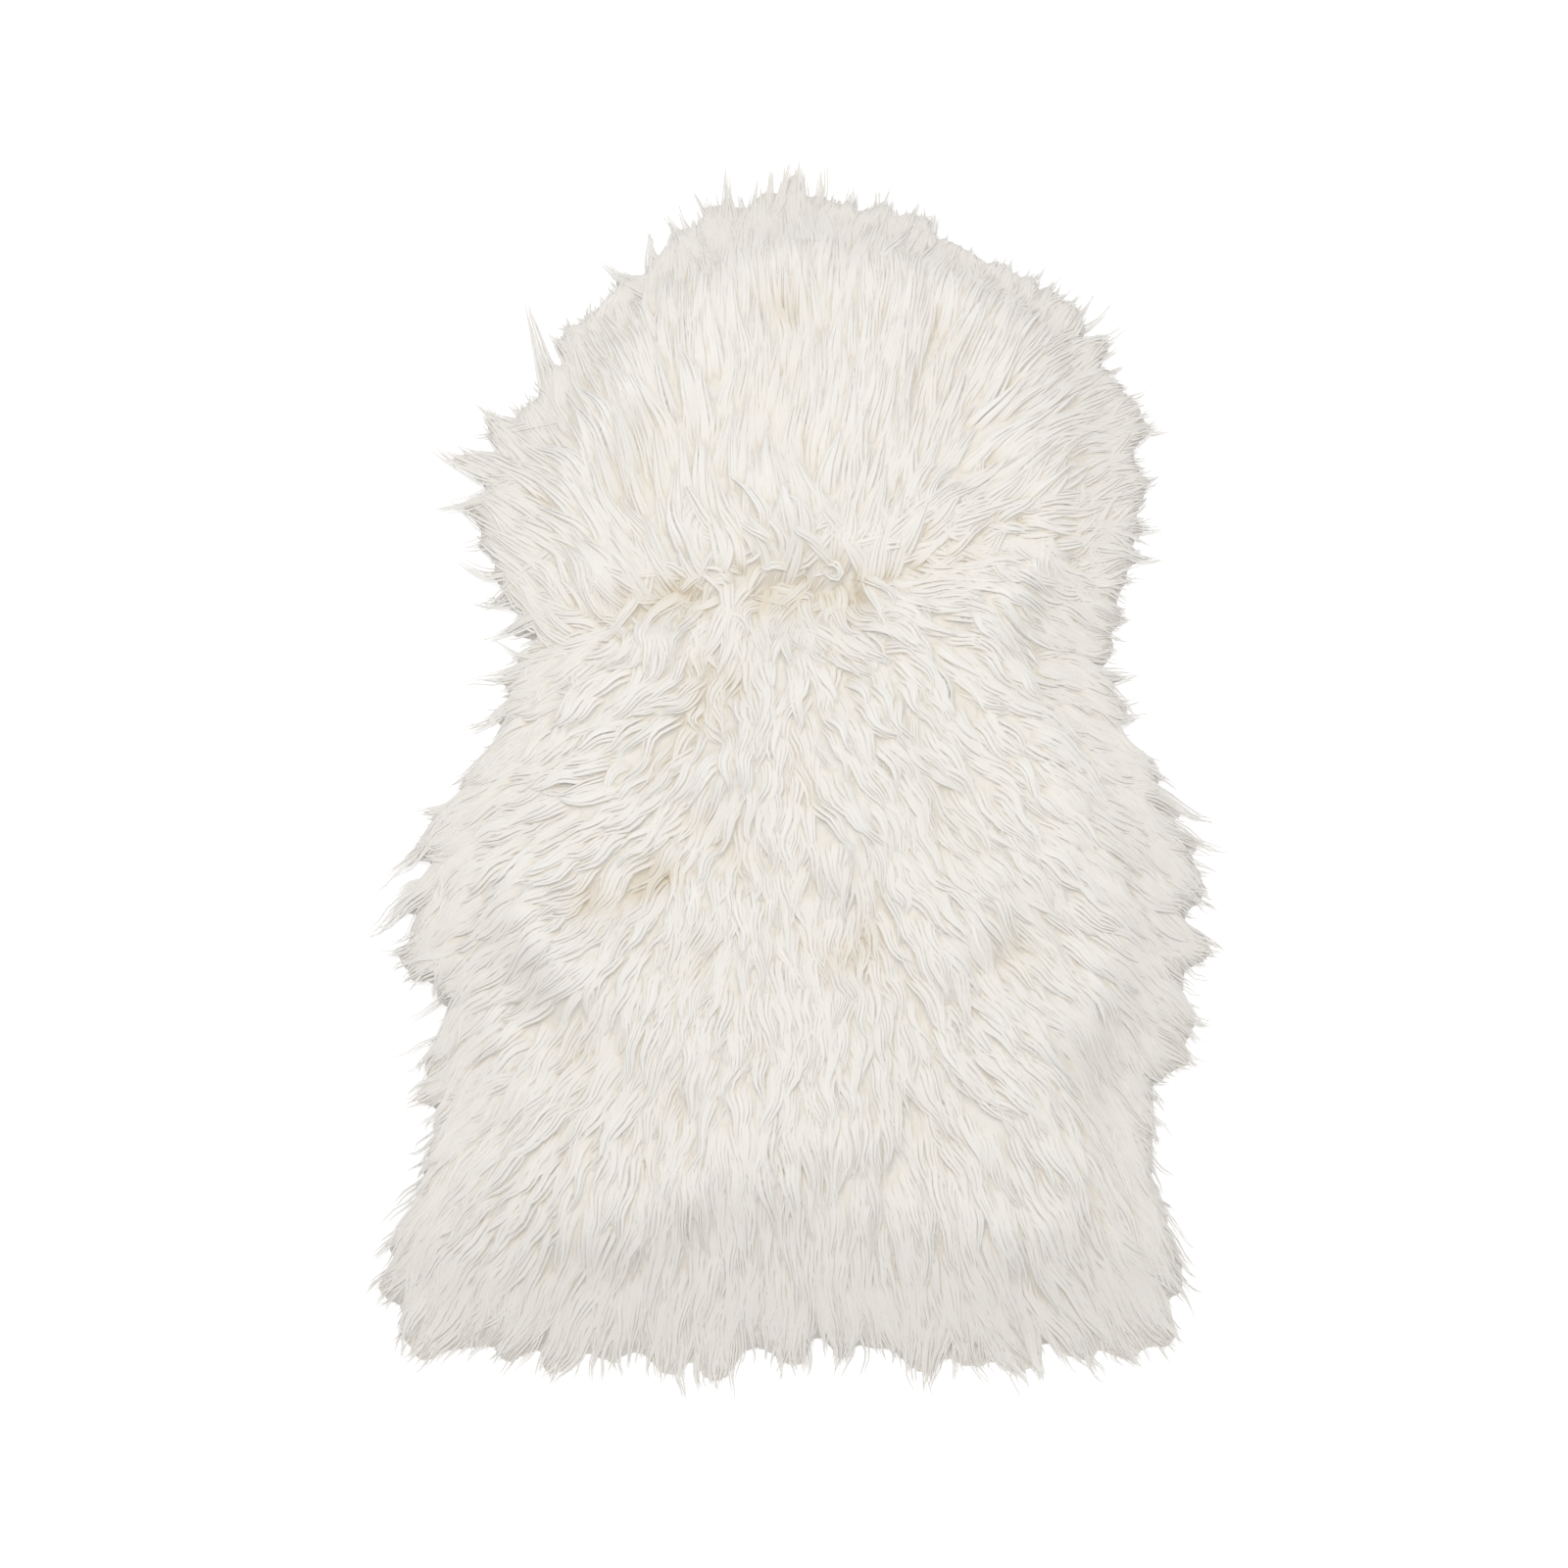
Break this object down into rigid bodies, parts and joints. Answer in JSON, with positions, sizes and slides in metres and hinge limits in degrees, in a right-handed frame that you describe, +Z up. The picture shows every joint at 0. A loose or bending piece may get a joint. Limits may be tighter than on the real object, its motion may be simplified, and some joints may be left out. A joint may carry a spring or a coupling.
{
  "type": "sheepskin rug",
  "caption": "Long-haired ivory sheepskin rug that lies flat, hair side up, with a tanned hide under a deep fleece and loose locks all round its rim.",
  "frame": {"origin": "on the floor under the middle of the footprint", "axes": "+Z up out of the hair, +Y from the tail's end towards the neck's end, +X to the right as seen from the tail's end"},
  "size_m": [0.6064, 0.9368, 0.0691],
  "materials": {
    "tanned_hide": "matt suede, flesh side of a tanned skin",
    "ivory_wool": "long ivory wool, soft sheen, tan towards the skin"
  },
  "bodies": {
    "root": {"hide": "tanned_hide", "fleece": "ivory_wool"}
  },
  "joints": []
}
